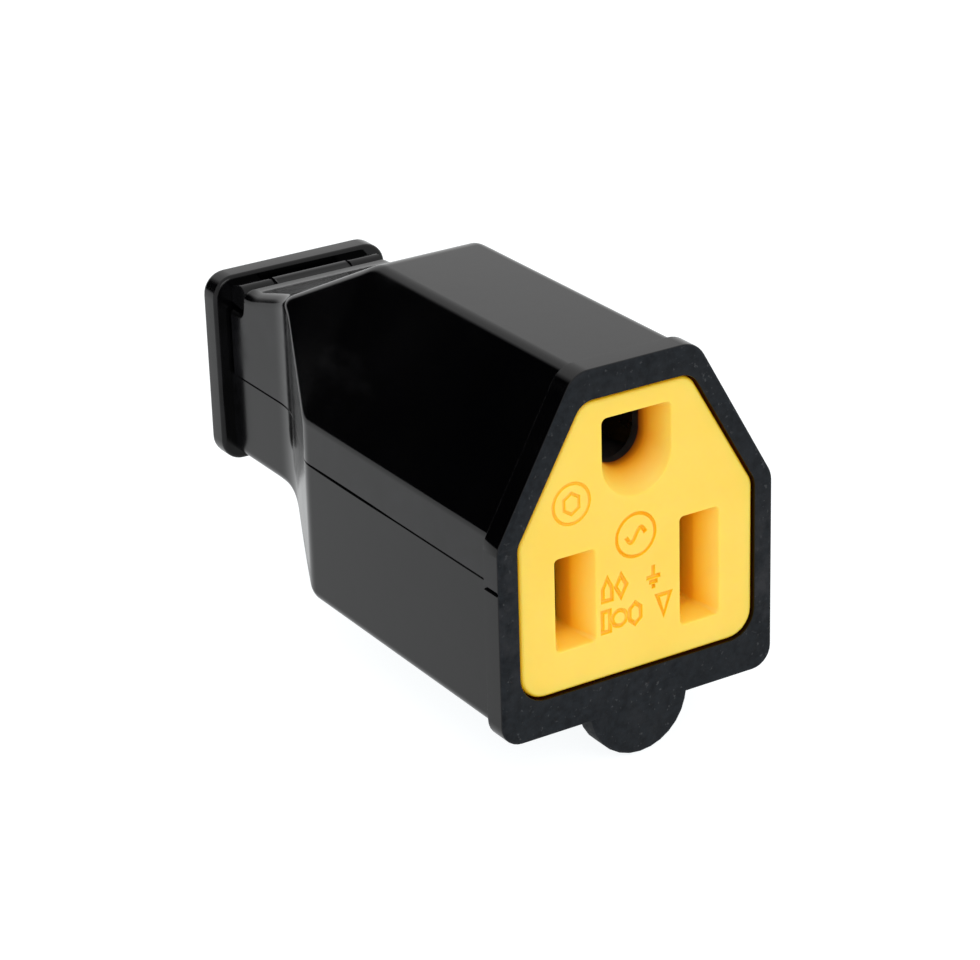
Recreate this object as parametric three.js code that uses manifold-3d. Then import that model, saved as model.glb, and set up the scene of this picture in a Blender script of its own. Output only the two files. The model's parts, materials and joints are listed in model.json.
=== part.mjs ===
// Rewireable three-wire cord connector with a hinged two-part housing.
// Millimetres, +Z up. The mating face looks along -Y and the cord leaves along +Y.
// The origin is on the mating face, midway between the two blade slots.

import * as THREE from 'three';
import { ConvexGeometry } from 'three/addons/geometries/ConvexGeometry.js';
import { mergeVertices } from 'three/addons/utils/BufferGeometryUtils.js';
import Module from 'manifold-3d';

const manifold = await Module();
manifold.setup();

// ---------------------------------------------------------------- driving dimensions

const GAP = 0.3; // air between neighbouring pieces
const WALL = 1.6; // housing wall behind the contact carrier

// House-shaped sections, seen along Y: square at the bottom, chamfered at the top.
const BODY = { halfWidth: 13.17, bottom: -11.41, knee: 6.6, topHalf: 5.5, top: 19.85 };
const COLLAR = { halfWidth: 13.95, bottom: -12, knee: 6.3, topHalf: 6.15, top: 20.15 };
const FACE = { halfWidth: 11.91, bottom: -8.32, knee: 6.11, topHalf: 5.44, top: 17.34 };
const BODY_RADII = { bottom: 1.3, knee: 2, top: 1.6 };
const COLLAR_RADII = { bottom: 1.8, knee: 2.4, top: 1.8 };
const FACE_RADII = { bottom: 2.4, knee: 3, top: 1.5 };

// Rectangular sections of the cord end.
const NECK = { halfWidth: 8.05, bottom: -6.2, top: 13.6, lowTop: 11.7, radius: 1.2 };
const FLANGE = { halfWidth: 9.45, bottom: -6.85, top: 12.1, radius: 2.1 };
const NECK_MOUTH = { halfWidth: 6, bottom: -3.5, top: 11.8 }; // where the wiring chamber ends

// Stations along the length.
const COLLAR_FRONT = -0.2;
const COLLAR_REAR = 2.2;
const BODY_REAR = 33.7;
const NECK_FRONT = 45.4;
const NECK_STEP = 52.5;
const FLANGE_FRONT = 57.1;
const FLANGE_REAR = 59.8;

const SEAM_Z = 2.33; // the two shells part here
const TAB = { radius: 4.9, centreZ: -11.5, rear: 2.1 };
const CORD = { z: 2.33, holeRadius: 4.5, ribGrooveRadius: 5.1 };

const HINGE = {
  y: 55.3, z: 10.5, barrelRadius: 1.2, pinRadius: 0.7, holeRadius: 0.8,
  centreHalf: 4, outerStart: 4.3, outerEnd: 7.6, pinHalf: 7.5, clearance: 0.35,
};

// Contact carrier: a face plate, and a narrower block behind it.
const PLATE_REAR = 4;
const BLOCK_REAR = 19.5;
const BLOCK_INSET = 0.9;
const SLOT_X = 6.35; // blade slots lie 12.7 apart
const LEAD_IN = 1.6; // depth of the lead-in chamfers
const SLOTS = {
  hot: { side: -1, bottom: -4.5, top: 4 },
  neutral: { side: 1, bottom: -5.5, top: 4.6 },
};
const SLOT = { mouthHalf: 2.1, throatHalf: 1, endInset: 0.7 };
const SOCKET = { mouthRadius: 3.5, mouthTop: 15.5, mouthZ: 11.3, radius: 2.6, top: 15, z: 12.2 };
const POCKET_FRONT = 4.5;

const SHEET = 0.9; // brass strip of the terminal tabs
const LEAF = 0.6; // spring leaves of the contacts
const TERMINAL = { y: 26, z: 5, groundY: 26.3, shankRadius: 1.45, plateHalf: 3.3 };
const RETAINER = { front: 19.8, rear: 21.6, fenceRear: 29.5 };
const RETAINER_SCREW_Z = [-5.4, 5.3];

const CLAMP = { front: 34.6, rear: 38, screwX: 5.4, shankRadius: 1.1, cordRadius: 4.2 };

const CURVE_STEPS = 3; // facets of a rounded corner
const ROUND_STEPS = 24; // facets round a small cylinder

// ---------------------------------------------------------------- outlines

const box2 = (x0, x1, z0, z1) => [[x0, z0], [x1, z0], [x1, z1], [x0, z1]];

const house = ({ halfWidth, bottom, knee, topHalf, top }) => [
  [-halfWidth, bottom], [halfWidth, bottom], [halfWidth, knee],
  [topHalf, top], [-topHalf, top], [-halfWidth, knee],
];

const houseRadii = ({ bottom, knee, top }) => [bottom, bottom, knee, top, top, knee];

// Moves every side of a convex counter-clockwise outline outwards by distance.
function offset(points, distance) {
  const sides = points.map(([x, z], i) => {
    const [nextX, nextZ] = points[(i + 1) % points.length];
    const length = Math.hypot(nextX - x, nextZ - z);
    const nx = (nextZ - z) / length;
    const nz = (x - nextX) / length;
    return { nx, nz, d: nx * x + nz * z + distance };
  });
  return sides.map((b, i) => {
    const a = sides[(i + sides.length - 1) % sides.length];
    const det = a.nx * b.nz - a.nz * b.nx;
    return [(a.d * b.nz - b.d * a.nz) / det, (a.nx * b.d - b.nx * a.d) / det];
  });
}

// A closed shape through the points, with a round of the given radius at each corner.
function rounded(points, radii) {
  const shape = new THREE.Shape();
  points.forEach(([x, z], i) => {
    const corner = new THREE.Vector2(x, z);
    const before = new THREE.Vector2(...points[(i + points.length - 1) % points.length]).sub(corner);
    const after = new THREE.Vector2(...points[(i + 1) % points.length]).sub(corner);
    const radius = Array.isArray(radii) ? radii[i] : radii;
    const setback = radius / Math.tan(before.angleTo(after) / 2);
    const start = corner.clone().addScaledVector(before.normalize(), setback);
    const end = corner.clone().addScaledVector(after.normalize(), setback);
    if (i === 0) shape.moveTo(start.x, start.y);
    else shape.lineTo(start.x, start.y);
    shape.quadraticCurveTo(corner.x, corner.y, end.x, end.y);
  });
  shape.closePath();
  return shape;
}

const polygon = (points) => new THREE.Shape(points.map(([x, y]) => new THREE.Vector2(x, y)));

// Flat at the top, half round at the bottom.
function socketShape(radius, top, centreZ) {
  const shape = new THREE.Shape();
  shape.moveTo(-radius, top);
  shape.lineTo(-radius, centreZ);
  shape.absarc(0, centreZ, radius, Math.PI, 2 * Math.PI, false);
  shape.lineTo(radius, top);
  shape.closePath();
  return shape;
}

// ---------------------------------------------------------------- solids

function toSolid(geometry) {
  geometry.deleteAttribute('normal');
  geometry.deleteAttribute('uv');
  const merged = mergeVertices(geometry, 1e-5);
  return new manifold.Manifold(new manifold.Mesh({
    numProp: 3,
    vertProperties: new Float32Array(merged.attributes.position.array),
    triVerts: new Uint32Array(merged.index.array),
  }));
}

const union = (...solids) => solids.reduce((sum, solid) => sum.add(solid));
const subtract = (solid, ...tools) => tools.reduce((rest, tool) => rest.subtract(tool), solid);

const AXES = {
  x: [[0, 1, 0], [0, 0, 1], [1, 0, 0]],
  y: [[1, 0, 0], [0, 0, 1], [0, -1, 0]],
  z: [[1, 0, 0], [0, 1, 0], [0, 0, 1]],
};

// Extrudes a shape along an axis: on x the shape lies in (Y, Z), on y in (X, Z), on z in (X, Y).
function extrude(shape, axis, from, to, curveSegments = CURVE_STEPS) {
  const geometry = new THREE.ExtrudeGeometry(shape, { depth: to - from, bevelEnabled: false, curveSegments });
  const columns = AXES[axis].map((column) => new THREE.Vector3(...column));
  geometry.applyMatrix4(new THREE.Matrix4().makeBasis(...columns));
  const start = axis === 'y' ? to : from;
  geometry.translate(axis === 'x' ? start : 0, axis === 'y' ? start : 0, axis === 'z' ? start : 0);
  return toSolid(geometry);
}

function block(x0, x1, y0, y1, z0, z1) {
  const geometry = new THREE.BoxGeometry(x1 - x0, y1 - y0, z1 - z0);
  geometry.translate((x0 + x1) / 2, (y0 + y1) / 2, (z0 + z1) / 2);
  return toSolid(geometry);
}

// A cylinder along an axis; centre holds its two other coordinates, in X, Y, Z order.
function rod(axis, radius, from, to, centre, steps = ROUND_STEPS) {
  const geometry = new THREE.CylinderGeometry(radius, radius, to - from, steps);
  const middle = (from + to) / 2;
  if (axis === 'x') geometry.rotateZ(-Math.PI / 2);
  if (axis === 'z') geometry.rotateX(Math.PI / 2);
  if (axis === 'x') geometry.translate(middle, centre[0], centre[1]);
  if (axis === 'y') geometry.translate(centre[0], middle, centre[1]);
  if (axis === 'z') geometry.translate(centre[0], centre[1], middle);
  return toSolid(geometry);
}

// The hull of one shape at yA and another at yB.
function loft(shapeA, yA, shapeB, yB, steps = CURVE_STEPS) {
  const points = [[shapeA, yA], [shapeB, yB]].flatMap(([shape, y]) =>
    shape.getPoints(steps).map((p) => new THREE.Vector3(p.x, y, p.y)));
  return toSolid(new ConvexGeometry(points));
}

// ---------------------------------------------------------------- materials

const plastic = (color, roughness) => new THREE.MeshStandardMaterial({ color, roughness, metalness: 0 });
const metal = (color, roughness) => new THREE.MeshStandardMaterial({ color, roughness, metalness: 1 });

const blackVinyl = plastic(0x1b1c1f, 0.25);
const yellowNylon = plastic(0xfad873, 0.45);
const blackNylon = plastic(0x202124, 0.5);
const brass = metal(0xd2a24c, 0.3);
const brassScrew = metal(0xc9983f, 0.35);
const nickelScrew = metal(0xc9ccd0, 0.3);
const greenScrew = metal(0x2f8f4e, 0.4);
const zincSteel = metal(0xb9bdc2, 0.35);

const connector = new THREE.Group();

// Adds a solid as a named mesh, placed at position and turned by rotation.
function addPiece(name, solid, material, position = [0, 0, 0], rotation = [0, 0, 0]) {
  const { vertProperties, triVerts } = solid.getMesh();
  const geometry = new THREE.BufferGeometry();
  geometry.setAttribute('position', new THREE.BufferAttribute(vertProperties, 3));
  geometry.setIndex(new THREE.BufferAttribute(triVerts, 1));
  geometry.computeVertexNormals();
  const mesh = new THREE.Mesh(geometry, material);
  mesh.name = name;
  mesh.position.set(...position);
  mesh.rotation.set(...rotation);
  connector.add(mesh);
}

// ---------------------------------------------------------------- housing

const bodyShape = rounded(house(BODY), houseRadii(BODY_RADII));
const neckSection = (top) => rounded(box2(-NECK.halfWidth, NECK.halfWidth, NECK.bottom, top), NECK.radius);

// Collar, body, tapering shoulder and neck as one full solid, without flange, tab or hinge.
const hull = union(
  extrude(rounded(house(COLLAR), houseRadii(COLLAR_RADII)), 'y', COLLAR_FRONT, COLLAR_REAR),
  extrude(bodyShape, 'y', COLLAR_REAR - 1, BODY_REAR),
  loft(bodyShape, BODY_REAR, neckSection(NECK.top), NECK_FRONT),
  loft(neckSection(NECK.top), NECK_FRONT, neckSection(NECK.lowTop), NECK_STEP),
  extrude(neckSection(NECK.lowTop), 'y', NECK_STEP, FLANGE_FRONT),
);

// The room inside both shells. stepY is where the face-plate pocket narrows to the carrier's block.
function chamber(stepY) {
  const blockRoom = offset(house(FACE), GAP - BLOCK_INSET);
  const wiringRoom = polygon(offset(house(BODY), -WALL));
  const neckMouth = polygon(box2(-NECK_MOUTH.halfWidth, NECK_MOUTH.halfWidth, NECK_MOUTH.bottom, NECK_MOUTH.top));
  const bore = (radius, from, to) => rod('y', radius, from, to, [0, CORD.z], 32);
  return union(
    extrude(rounded(offset(house(FACE), GAP), houseRadii(FACE_RADII)), 'y', COLLAR_FRONT - 1, stepY),
    extrude(polygon(blockRoom), 'y', stepY - 1, RETAINER.rear),
    extrude(wiringRoom, 'y', BLOCK_REAR + 1, BODY_REAR),
    loft(wiringRoom, BODY_REAR, neckMouth, NECK_FRONT - 1.3),
    bore(CORD.holeRadius, NECK_FRONT - 2, FLANGE_REAR + 1),
    ...[46, 49, 52].map((y) => bore(CORD.ribGrooveRadius, y, y + 1.6)),
  );
}

function lowerShell() {
  const tab = subtract(
    rod('y', TAB.radius, COLLAR_FRONT, TAB.rear, [0, TAB.centreZ], 40),
    block(-9, 9, -9, 9, COLLAR.bottom + 0.5, 0));
  const flange = extrude(
    rounded(box2(-FLANGE.halfWidth, FLANGE.halfWidth, FLANGE.bottom, FLANGE.top), FLANGE.radius),
    'y', FLANGE_FRONT, FLANGE_REAR);
  // A rib in the carrier's groove holds the carrier against pull.
  const rib = extrude(polygon(offset(house(FACE), 0.5 - BLOCK_INSET)), 'y', 9.8, 11.2)
    .subtract(extrude(polygon(offset(house(FACE), -BLOCK_INSET - 0.7)), 'y', 9, 12))
    .intersect(block(-20, 20, 0, 20, -20, 1.6));
  const clampLedge = block(-4, 4, CLAMP.front + 0.4, CLAMP.rear - 0.4, -8.3, -6.2);
  const screwWells = [-1, 1].map((side) =>
    rod('z', 1.7, -8.1, -5, [side * CLAMP.screwX, (CLAMP.front + CLAMP.rear) / 2]));
  const knuckles = [-1, 1].map((side) => {
    const [from, to] = [HINGE.outerStart, HINGE.outerEnd].map((x) => side * x).sort((a, b) => a - b);
    return union(
      rod('x', HINGE.barrelRadius, from, to, [HINGE.y, HINGE.z]),
      block(from, to, HINGE.y, FLANGE_FRONT + 0.5, HINGE.z - 1.1, HINGE.z + 0.6));
  });
  const half = hull.intersect(block(-20, 20, -5, 70, -20, SEAM_Z - GAP / 2));
  return union(subtract(half.add(tab), chamber(PLATE_REAR + GAP)), rib, clampLedge)
    .subtract(union(...screwWells))
    .add(flange.subtract(rod('y', CORD.holeRadius, FLANGE_FRONT - 1, FLANGE_REAR + 1, [0, CORD.z], 32)))
    .add(union(...knuckles))
    .subtract(rod('x', HINGE.holeRadius, -9, 9, [HINGE.y, HINGE.z]));
}

function upperShell() {
  const rearEnd = FLANGE_FRONT - GAP;
  const roomRadius = HINGE.barrelRadius + HINGE.clearance;
  const shelfTop = HINGE.z - roomRadius;
  const half = hull.intersect(block(-20, 20, -5, rearEnd, SEAM_Z + GAP / 2, 30));
  const hingeRoom = union(
    block(-9, 9, HINGE.y, FLANGE_REAR, shelfTop, 14),
    rod('x', roomRadius, -9, 9, [HINGE.y, HINGE.z]));
  const knuckle = union(
    rod('x', HINGE.barrelRadius, -HINGE.centreHalf, HINGE.centreHalf, [HINGE.y, HINGE.z]),
    block(-HINGE.centreHalf, HINGE.centreHalf, HINGE.y - 2.2, HINGE.y, shelfTop - 0.5, HINGE.z + 0.6),
    block(-HINGE.centreHalf, HINGE.centreHalf, HINGE.y - 1, HINGE.y + 1, shelfTop - 0.5, HINGE.z));
  // Lips that hang inside the lower shell and line the two halves up.
  const lips = [-1, 1].map((side) => {
    const inner = side * 10.7;
    const box = (outer, z0, z1) => block(Math.min(inner, side * outer), Math.max(inner, side * outer),
      22.5, 30.5, z0, z1);
    return box(11.27, 0.6, 4.2).add(box(12, SEAM_Z + 0.3, 4.2));
  });
  return union(subtract(half, chamber(PLATE_REAR + 1.4), hingeRoom), knuckle, ...lips)
    .subtract(rod('x', HINGE.holeRadius, -9, 9, [HINGE.y, HINGE.z]));
}

addPiece('lower_shell', lowerShell(), blackVinyl);
addPiece('upper_shell', upperShell(), blackVinyl);
addPiece('hinge_pin', rod('x', HINGE.pinRadius, -HINGE.pinHalf, HINGE.pinHalf, [0, 0]), blackNylon, [0, HINGE.y, HINGE.z]);

// ---------------------------------------------------------------- contact carrier

function contactCarrier() {
  const plate = extrude(rounded(house(FACE), houseRadii(FACE_RADII)), 'y', 0, PLATE_REAR);
  const rear = extrude(polygon(offset(house(FACE), -BLOCK_INSET)), 'y', PLATE_REAR - 1, BLOCK_REAR);
  const groove = extrude(polygon(offset(house(FACE), 5)), 'y', 9.5, 11.5)
    .subtract(extrude(polygon(offset(house(FACE), -BLOCK_INSET - 1)), 'y', 9, 12))
    .intersect(block(-20, 20, 0, 20, -20, 2));
  const bladeSlots = Object.values(SLOTS).flatMap(({ side, bottom, top }) => {
    const x = side * SLOT_X;
    const mouth = polygon(box2(x - SLOT.mouthHalf, x + SLOT.mouthHalf, bottom, top));
    const throat = polygon(box2(x - SLOT.throatHalf, x + SLOT.throatHalf,
      bottom + SLOT.endInset, top - SLOT.endInset));
    return [
      loft(mouth, -0.01, throat, LEAD_IN),
      extrude(throat, 'y', LEAD_IN - 0.1, POCKET_FRONT + 1),
      block(x - 2.25, x + 2.25, POCKET_FRONT, BLOCK_REAR + 1, -4.4, 4),
    ];
  });
  const socketMouth = socketShape(SOCKET.mouthRadius, SOCKET.mouthTop, SOCKET.mouthZ);
  const socket = socketShape(SOCKET.radius, SOCKET.top, SOCKET.z);
  const socketSteps = 12;
  return subtract(
    union(plate, rear),
    groove,
    ...bladeSlots,
    loft(socketMouth, -0.01, socket, LEAD_IN, socketSteps),
    extrude(socket, 'y', LEAD_IN - 0.1, POCKET_FRONT + 1, socketSteps),
    block(-3.7, 3.7, POCKET_FRONT, BLOCK_REAR + 1, 9.4, 15.2),
    ...RETAINER_SCREW_Z.map((z) => rod('y', 1.2, 11.5, BLOCK_REAR + 1, [0, z])));
}

function contactRetainer() {
  const plate = extrude(polygon(offset(house(FACE), -BLOCK_INSET - 0.2)), 'y', RETAINER.front, RETAINER.rear);
  const tabSlots = [-1, 1].map((side) => {
    const [from, to] = [side * 4.4, side * 5.9].sort((a, b) => a - b);
    return block(from, to, 19, 23, -2.7, 3.3);
  });
  const fences = union(
    block(-0.6, 0.6, RETAINER.rear - 1, RETAINER.fenceRear, -3.4, 3),
    block(-4.1, 4.1, RETAINER.rear - 1, RETAINER.fenceRear, 7.4, 8.4));
  return subtract(
    plate.add(fences),
    ...tabSlots,
    block(-2.8, 2.8, 19, 23, 9.9, 11.4),
    ...RETAINER_SCREW_Z.map((z) => rod('y', 1.2, 19, 23, [0, z])));
}

addPiece('contact_carrier', contactCarrier(), yellowNylon);
addPiece('contact_retainer', contactRetainer(), blackNylon);

// ---------------------------------------------------------------- contacts

// A spring fork seen along Z: two leaves that pinch at y 7.6, flare at the mouth and join at the rear.
function fork(pinchHalf, rearHalf, z0, z1) {
  const rightLeaf = [
    [rearHalf + LEAF, 18.6], [rearHalf + LEAF, 10.5], [pinchHalf + LEAF, 7.6], [rearHalf + LEAF + 0.1, 5.2],
    [rearHalf + 0.1, 5], [pinchHalf, 7.5], [rearHalf, 10.5], [rearHalf, 17.8],
  ];
  const leftLeaf = rightLeaf.map(([x, y]) => [-x, y]).reverse();
  return extrude(polygon([...rightLeaf, ...leftLeaf].reverse()), 'z', z0, z1);
}

// The tab of a blade contact leaves the inner leaf, passes the retainer and widens round the screw.
function bladeContact(side) {
  const leafOuter = 1.65;
  const strip = [
    [17.9, -2.4], [22.4, -2.4], [22.4, 1.4], [29.2, 1.4], [29.2, 8.6], [22.8, 8.6], [22.8, 3], [17.9, 3],
  ];
  const [from, to] = [-side * (leafOuter - SHEET), -side * leafOuter].sort((a, b) => a - b);
  return union(fork(0.55, leafOuter - LEAF, -3.4, 3), extrude(polygon(strip), 'x', from, to))
    .subtract(rod('x', TERMINAL.shankRadius + GAP, -3, 3, [TERMINAL.y, TERMINAL.z]));
}

function groundContact() {
  const strip = [
    [-2.5, 17.9], [2.5, 17.9], [2.5, 22.4], [3.4, 23], [3.4, 29.6], [-3.4, 29.6], [-3.4, 23], [-2.5, 22.4],
  ];
  return union(fork(2.2, 2.8, 9.9, 14.6), extrude(polygon(strip), 'z', 10.2, 10.2 + SHEET))
    .subtract(rod('z', TERMINAL.shankRadius + GAP, 9, 13, [0, TERMINAL.groundY]));
}

addPiece('hot_contact', bladeContact(-1), brass, [-SLOT_X, 0, 0]);
addPiece('neutral_contact', bladeContact(1), brass, [SLOT_X, 0, 0]);
addPiece('ground_contact', groundContact(), brass);

// ---------------------------------------------------------------- screws, plates and nuts

// Slotted screw, head up, with the underside of its head at the origin.
function screw(headRadius, headHeight, shankRadius, shankLength) {
  const bevel = 0.3;
  const profile = [
    [0, -shankLength], [shankRadius - bevel, -shankLength], [shankRadius, bevel - shankLength],
    [shankRadius, 0], [headRadius, 0], [headRadius, headHeight - bevel],
    [headRadius - bevel, headHeight], [0, headHeight],
  ].map(([r, z]) => new THREE.Vector2(r, z));
  const geometry = new THREE.LatheGeometry(profile, ROUND_STEPS);
  geometry.rotateX(Math.PI / 2);
  const slotHalf = headRadius * 0.16;
  return toSolid(geometry)
    .subtract(block(-headRadius, headRadius, -slotHalf, slotHalf, headHeight * 0.4, headHeight + 1));
}

// Square pressure plate in the XY plane, its underside at z 0.
function pressurePlate() {
  const half = TERMINAL.plateHalf;
  return extrude(rounded(box2(-half, half, -half, half), 0.6), 'z', 0, SHEET)
    .subtract(rod('z', TERMINAL.shankRadius + GAP, -1, 2, [0, 0]));
}

const outward = { hot: [0, -Math.PI / 2, 0], neutral: [0, Math.PI / 2, 0], ground: [0, 0, 0] };
const plateBase = { hot: [-6, TERMINAL.y, TERMINAL.z], neutral: [6, TERMINAL.y, TERMINAL.z],
  ground: [0, TERMINAL.groundY, 11.5] };
const screwBase = { hot: [-7.2, TERMINAL.y, TERMINAL.z], neutral: [7.2, TERMINAL.y, TERMINAL.z],
  ground: [0, TERMINAL.groundY, 12.7] };
const screwMetal = { hot: brassScrew, neutral: nickelScrew, ground: greenScrew };
const shankLength = { hot: 5, neutral: 5, ground: 3.9 };

for (const pole of ['hot', 'neutral', 'ground']) {
  addPiece(`${pole}_pressure_plate`, pressurePlate(), zincSteel, plateBase[pole], outward[pole]);
  addPiece(`${pole}_terminal_screw`, screw(2.8, 1.3, TERMINAL.shankRadius, shankLength[pole]),
    screwMetal[pole], screwBase[pole], outward[pole]);
}

RETAINER_SCREW_Z.forEach((z, i) => {
  addPiece(`retainer_screw_${i + 1}`, screw(1.7, 1.1, 0.9, 8.5), zincSteel,
    [0, RETAINER.rear + GAP, z], [-Math.PI / 2, 0, 0]);
});

// ---------------------------------------------------------------- cord clamp

const clampY = (CLAMP.front + CLAMP.rear) / 2;

// Round trough for the cord, with two gripping ridges left across it.
function trough() {
  const ridges = [CLAMP.front + 0.9, CLAMP.rear - 1.5];
  const grooves = [[CLAMP.front - 1, ridges[0]], [ridges[0] + 0.6, ridges[1]], [ridges[1] + 0.6, CLAMP.rear + 1]];
  return union(
    rod('y', CLAMP.cordRadius, CLAMP.front - 1, CLAMP.rear + 1, [0, CORD.z], 32),
    ...grooves.map(([from, to]) => rod('y', CLAMP.cordRadius + 0.4, from, to, [0, CORD.z], 32)));
}

const clampHoles = () => union(...[-1, 1].map((side) =>
  rod('z', CLAMP.shankRadius + GAP, -9, 12, [side * CLAMP.screwX, clampY])));

function cordCradle() {
  const halfWidth = 7.7;
  const nutSlots = [-1, 1].map((side) => {
    const [from, to] = [side * (CLAMP.screwX - 2.1), side * (halfWidth + 1)].sort((a, b) => a - b);
    return block(from, to, CLAMP.front - 1, CLAMP.rear + 1, -5.1, -3.1)
      .intersect(block(-10, 10, clampY - 1.85, clampY + 1.85, -6, 0));
  });
  return subtract(block(-halfWidth, halfWidth, CLAMP.front, CLAMP.rear, -5.9, 1.6),
    trough(), clampHoles(), ...nutSlots);
}

const cordSaddle = () =>
  subtract(block(-6.9, 6.9, CLAMP.front, CLAMP.rear, 5.3, 8.6), trough(), clampHoles());

function hexNut() {
  const corner = 1.8;
  const corners = Array.from({ length: 6 }, (_, i) => {
    const angle = (i * Math.PI) / 3;
    return [corner * Math.cos(angle), corner * Math.sin(angle)];
  });
  return extrude(polygon(corners), 'z', -0.7, 0.7)
    .subtract(rod('z', CLAMP.shankRadius + 0.1, -1, 1, [0, 0]));
}

addPiece('cord_clamp_cradle', cordCradle(), blackNylon);
addPiece('cord_clamp_saddle', cordSaddle(), blackNylon);
for (const [label, side] of [['left', -1], ['right', 1]]) {
  const x = side * CLAMP.screwX;
  addPiece(`cord_clamp_screw_${label}`, screw(1.5, 1.3, CLAMP.shankRadius, 14.4), zincSteel, [x, clampY, 8.9]);
  addPiece(`cord_clamp_nut_${label}`, hexNut(), zincSteel, [x, clampY, -4.1]);
}

export default connector;
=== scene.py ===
"""Three-wire cord connector: the looks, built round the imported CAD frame. Lengths are in millimetres."""
import json
import math
from collections import namedtuple

import bmesh
import bpy
from mathutils import Matrix, Vector

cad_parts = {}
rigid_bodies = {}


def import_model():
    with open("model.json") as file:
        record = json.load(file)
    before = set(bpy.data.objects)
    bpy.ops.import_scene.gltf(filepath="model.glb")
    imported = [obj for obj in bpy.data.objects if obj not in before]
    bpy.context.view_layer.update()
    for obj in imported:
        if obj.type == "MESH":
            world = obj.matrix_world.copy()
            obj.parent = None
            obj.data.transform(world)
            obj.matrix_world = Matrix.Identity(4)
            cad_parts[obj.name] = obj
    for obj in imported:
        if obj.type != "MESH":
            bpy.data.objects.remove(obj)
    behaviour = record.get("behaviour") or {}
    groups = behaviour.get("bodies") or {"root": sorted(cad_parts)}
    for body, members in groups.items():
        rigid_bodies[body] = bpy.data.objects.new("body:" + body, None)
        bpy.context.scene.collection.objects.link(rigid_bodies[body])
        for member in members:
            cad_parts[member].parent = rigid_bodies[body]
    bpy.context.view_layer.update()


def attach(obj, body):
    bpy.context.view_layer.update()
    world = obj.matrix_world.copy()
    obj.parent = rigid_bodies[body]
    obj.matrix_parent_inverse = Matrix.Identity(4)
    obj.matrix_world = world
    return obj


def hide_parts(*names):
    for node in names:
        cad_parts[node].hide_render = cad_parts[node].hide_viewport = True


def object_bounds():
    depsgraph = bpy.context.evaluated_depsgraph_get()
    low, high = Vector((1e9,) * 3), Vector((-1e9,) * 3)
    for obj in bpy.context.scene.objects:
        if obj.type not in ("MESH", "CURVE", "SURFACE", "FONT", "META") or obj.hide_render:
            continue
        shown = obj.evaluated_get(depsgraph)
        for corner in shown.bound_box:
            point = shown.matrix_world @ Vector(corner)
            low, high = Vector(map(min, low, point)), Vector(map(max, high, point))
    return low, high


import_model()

MM = 0.001

# -------------------- driving dimensions

# Along Y, from the mating face to the cord end.
COLLAR_FRONT = -0.2
COLLAR_REAR = 2.2
COLLAR_FACE_REAR = 0.1
FACE_REAR = 4.0
POCKET_FRONT = 4.5
RIB_FRONT = 9.8
RIB_REAR = 11.2
BLOCK_REAR = 19.5
WIRING_FRONT = 21.6
TERMINAL_Y = 26
TOP_REAR = 32.8
BODY_REAR = 33.7
CLAMP_Y = 36.3
CHAMBER_REAR = 44.1
NECK_FRONT = 45.4
NECK_STEP = 52.5
HINGE_Y = 55.3
UPPER_REAR = 56.8
FLANGE_FRONT = 57.1
FLANGE_REAR = 59.8

# Across it.
GAP = 0.3
FACE_GAP = 0.14
NECK_REAR_TOP = 11.7
SEAM_Z = 2.33
SEAM_HALF = 0.02
BROKEN_EDGE = 0.08
BORE_RADIUS = 4.5
GROOVE_RADIUS = 5.1
TAB_RADIUS = 4.9
TAB_CENTRE_Z = -11.5
HINGE_Z = 10.5
BARREL_RADIUS = 1.2
HINGE_SHELF_Z = 8.95
HINGE_ROOM = BARREL_RADIUS + 0.33
SLOT_X = 6.35
RETAINER_SCREWS_Z = (-5.4, 5.3)

# Steps along a rounded corner, and along each half of the tab.
ARC_STEPS = 7
TAB_STEPS = 7

# -------------------- sections of the housing

# A section is a house-shaped outline across Y. Its chamfer is the line at distance reach from
# the origin, whose normal stands at angle above +X.
Section = namedtuple("Section", "half bottom top angle reach r_top r_bottom")


def house(half, bottom, knee, top_half, top, r_top, r_bottom):
    """Straight sides up to the knee, then chamfers that lean in to the narrower top."""
    angle = math.atan2(half - top_half, top - knee)
    reach = math.cos(angle) * half + math.sin(angle) * knee
    return Section(half, bottom, top, angle, reach, r_top, r_bottom)


def rectangle(half, bottom, top, angle, radius):
    """A section whose chamfers have shrunk to its two top corners."""
    reach = math.cos(angle) * half + math.sin(angle) * top
    return Section(half, bottom, top, angle, reach, radius, radius)


def grow(section, distance):
    return section._replace(
        half=section.half + distance,
        bottom=section.bottom - distance,
        top=section.top + distance,
        reach=section.reach + distance,
        r_top=max(section.r_top + distance, 0.05),
        r_bottom=max(section.r_bottom + distance, 0.05),
    )


def mix(a, b, t):
    """The section at share t of the way from a to b."""
    return Section(*(p + (q - p) * t for p, q in zip(a, b)))


BODY = house(13.17, -11.41, 6.6, 5.5, 19.85, 1.4, 1.2)
COLLAR = house(13.95, -12.0, 6.3, 6.15, 20.15, 2.5, 2.0)
FACE = house(11.91, -8.32, 6.11, 5.44, 17.34, 1.8, 2.4)
NECK = rectangle(8.05, -6.2, 13.6, BODY.angle, 1.2)
POCKET = grow(FACE, FACE_GAP)
BLOCK_ROOM = grow(FACE, GAP - 0.9)._replace(r_top=0.4, r_bottom=0.4)
RIB = grow(FACE, -1.6)._replace(r_top=0.3, r_bottom=0.3)
WIRING_ROOM = grow(BODY, -1.6)._replace(r_top=0.8, r_bottom=0.8)
NECK_MOUTH = rectangle(6.0, -3.5, 11.8, BODY.angle, 0.6)


def spread(start, end, steps):
    return [start + (end - start) * i / steps for i in range(steps + 1)]


def arc(cx, cz, radius, start, end, steps=ARC_STEPS):
    return [(cx + radius * math.cos(a), cz + radius * math.sin(a)) for a in spread(start, end, steps)]


def mirror(points):
    return [(-x, z) for x, z in reversed(points)]


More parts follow.
